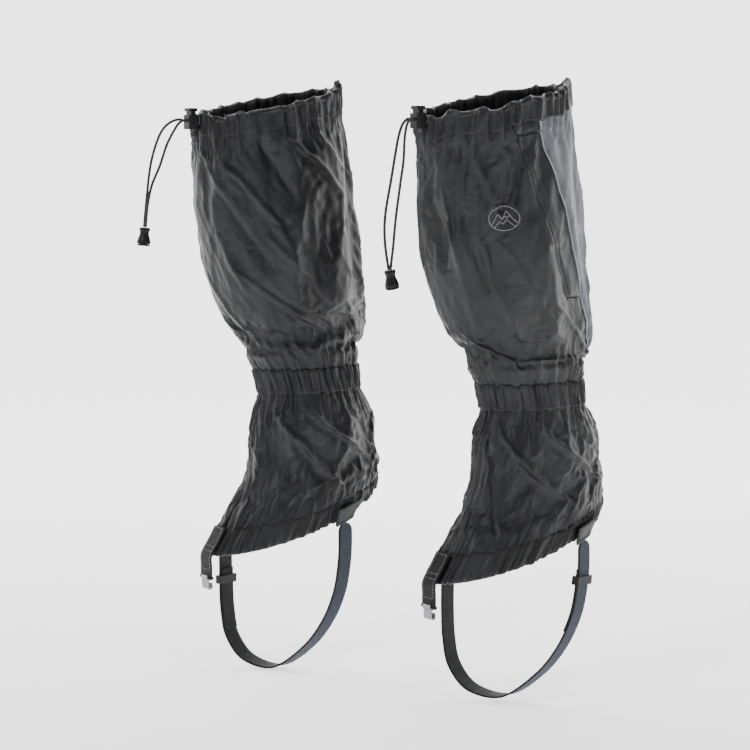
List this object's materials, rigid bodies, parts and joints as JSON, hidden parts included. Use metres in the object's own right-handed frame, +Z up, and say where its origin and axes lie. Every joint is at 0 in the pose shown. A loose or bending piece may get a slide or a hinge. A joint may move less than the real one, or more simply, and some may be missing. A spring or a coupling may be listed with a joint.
{
  "type": "gaiters",
  "caption": "Pair of knee-high fabric gaiters, shaped to the leg, with a drawcord top, elastic ankle and hem, lace hook and instep strap.",
  "frame": {"origin": "midway between the wearer's two ankles, where the legs hold the pair up", "axes": "+Z up the legs, toes towards -X and turned 35 degrees towards -Y, right gaiter at +Y, left gaiter at -Y"},
  "size_m": [0.4311, 0.2947, 0.5617],
  "materials": {
    "shell_fabric": "black coated nylon with a soft satin sheen",
    "grey_fabric": "grey speckled nylon",
    "binding": "black folded binding",
    "hook_and_loop": "black hook and loop pile",
    "webbing": "black webbing, bluish grey inner face",
    "elastic": "covered elastic",
    "cord": "black braided cord",
    "steel": "bright plated steel",
    "black_plastic": "moulded black plastic",
    "light_thread": "pale grey embroidery"
  },
  "bodies": {
    "root": {"right_main_panel": "shell_fabric", "right_rear_panel": "grey_fabric", "right_loop_tape": "hook_and_loop", "right_drawcord_casing": "shell_fabric", "right_drawcord_eyelet": "steel", "right_drawcord_in_casing": "cord", "right_drawcord_upper_strand": "cord", "right_drawcord_lower_strand": "cord", "right_cord_lock_body": "black_plastic", "right_cord_lock_spring": "steel", "right_cord_end_bell": "black_plastic", "right_cord_end_cap": "black_plastic", "right_ankle_casing": "shell_fabric", "right_ankle_elastic": "elastic", "right_boot_outer_panel": "shell_fabric", "right_boot_inner_panel": "shell_fabric", "right_hem_casing": "binding", "right_hem_elastic": "elastic", "right_toe_tab": "webbing", "right_outer_strap_tab": "binding", "right_inner_strap_tab": "binding", "right_emblem": "light_thread", "left_main_panel": "shell_fabric", "left_rear_panel": "grey_fabric", "left_loop_tape": "hook_and_loop", "left_drawcord_casing": "shell_fabric", "left_drawcord_eyelet": "steel", "left_drawcord_in_casing": "cord", "left_drawcord_upper_strand": "cord", "left_drawcord_lower_strand": "cord", "left_cord_lock_body": "black_plastic", "left_cord_lock_spring": "steel", "left_cord_end_bell": "black_plastic", "left_cord_end_cap": "black_plastic", "left_ankle_casing": "shell_fabric", "left_ankle_elastic": "elastic", "left_boot_outer_panel": "shell_fabric", "left_boot_inner_panel": "shell_fabric", "left_hem_casing": "binding", "left_hem_elastic": "elastic", "left_toe_tab": "webbing", "left_outer_strap_tab": "binding", "left_inner_strap_tab": "binding", "left_emblem": "light_thread"},
    "right_closure_flap": {"right_closure_flap": "shell_fabric", "right_hook_tape": "hook_and_loop"},
    "right_cord_lock_plunger": {"right_cord_lock_plunger": "black_plastic"},
    "right_lace_hook": {"right_lace_hook": "steel"},
    "right_instep_strap": {"right_instep_strap": "webbing", "right_strap_tail": "webbing"},
    "right_strap_slider": {"right_strap_slider": "black_plastic"},
    "left_closure_flap": {"left_closure_flap": "shell_fabric", "left_hook_tape": "hook_and_loop"},
    "left_cord_lock_plunger": {"left_cord_lock_plunger": "black_plastic"},
    "left_lace_hook": {"left_lace_hook": "steel"},
    "left_instep_strap": {"left_instep_strap": "webbing", "left_strap_tail": "webbing"},
    "left_strap_slider": {"left_strap_slider": "black_plastic"}
  },
  "joints": [
    {"name": "right_flap_hinge", "type": "hinge", "parent": "root", "child": "right_closure_flap", "pos_m": [-0.19113, 0.08412, 0.23619], "axis": [-0.3455, -0.2372, 0.908], "range_deg": [0, 100]},
    {"name": "right_lock_press", "type": "slide", "parent": "root", "child": "right_cord_lock_plunger", "axis": [0, 0, -1], "range_m": [0, 0.003], "stiffness_N_per_m": 600, "springref_m": -0.002, "deforming": ["right_cord_lock_spring"]},
    {"name": "right_hook_swing", "type": "hinge", "parent": "root", "child": "right_lace_hook", "pos_m": [-0.19902, 0.00347, -0.181], "axis": [-0.5736, 0.8192, 0], "range_deg": [-20, 20]},
    {"name": "right_strap_swing", "type": "hinge", "parent": "root", "child": "right_instep_strap", "pos_m": [-0.18476, 0.06242, -0.16561], "axis": [0.968, -0.175, 0.1797], "range_deg": [-45, 45]},
    {"name": "right_slider_slide", "type": "slide", "parent": "right_instep_strap", "child": "right_strap_slider", "axis": [0.0073, -0.0013, -1], "range_m": [-0.006, 0.008]},
    {"name": "left_flap_hinge", "type": "hinge", "parent": "root", "child": "left_closure_flap", "pos_m": [0.08747, -0.1567, 0.23619], "axis": [0.341, 0.2435, -0.908], "range_deg": [0, 100]},
    {"name": "left_lock_press", "type": "slide", "parent": "root", "child": "left_cord_lock_plunger", "axis": [0, 0, -1], "range_m": [0, 0.003], "stiffness_N_per_m": 600, "springref_m": -0.002, "deforming": ["left_cord_lock_spring"]},
    {"name": "left_hook_swing", "type": "hinge", "parent": "root", "child": "left_lace_hook", "pos_m": [0.00898, -0.13653, -0.181], "axis": [-0.5736, 0.8192, 0], "range_deg": [-20, 20]},
    {"name": "left_strap_swing", "type": "hinge", "parent": "root", "child": "left_instep_strap", "pos_m": [0.1508, -0.08688, -0.1387], "axis": [-0.9726, 0.1147, -0.202], "range_deg": [-45, 45]},
    {"name": "left_slider_slide", "type": "slide", "parent": "left_instep_strap", "child": "left_strap_slider", "axis": [-0.0959, 0.0113, -0.9953], "range_m": [-0.006, 0.008]}
  ]
}
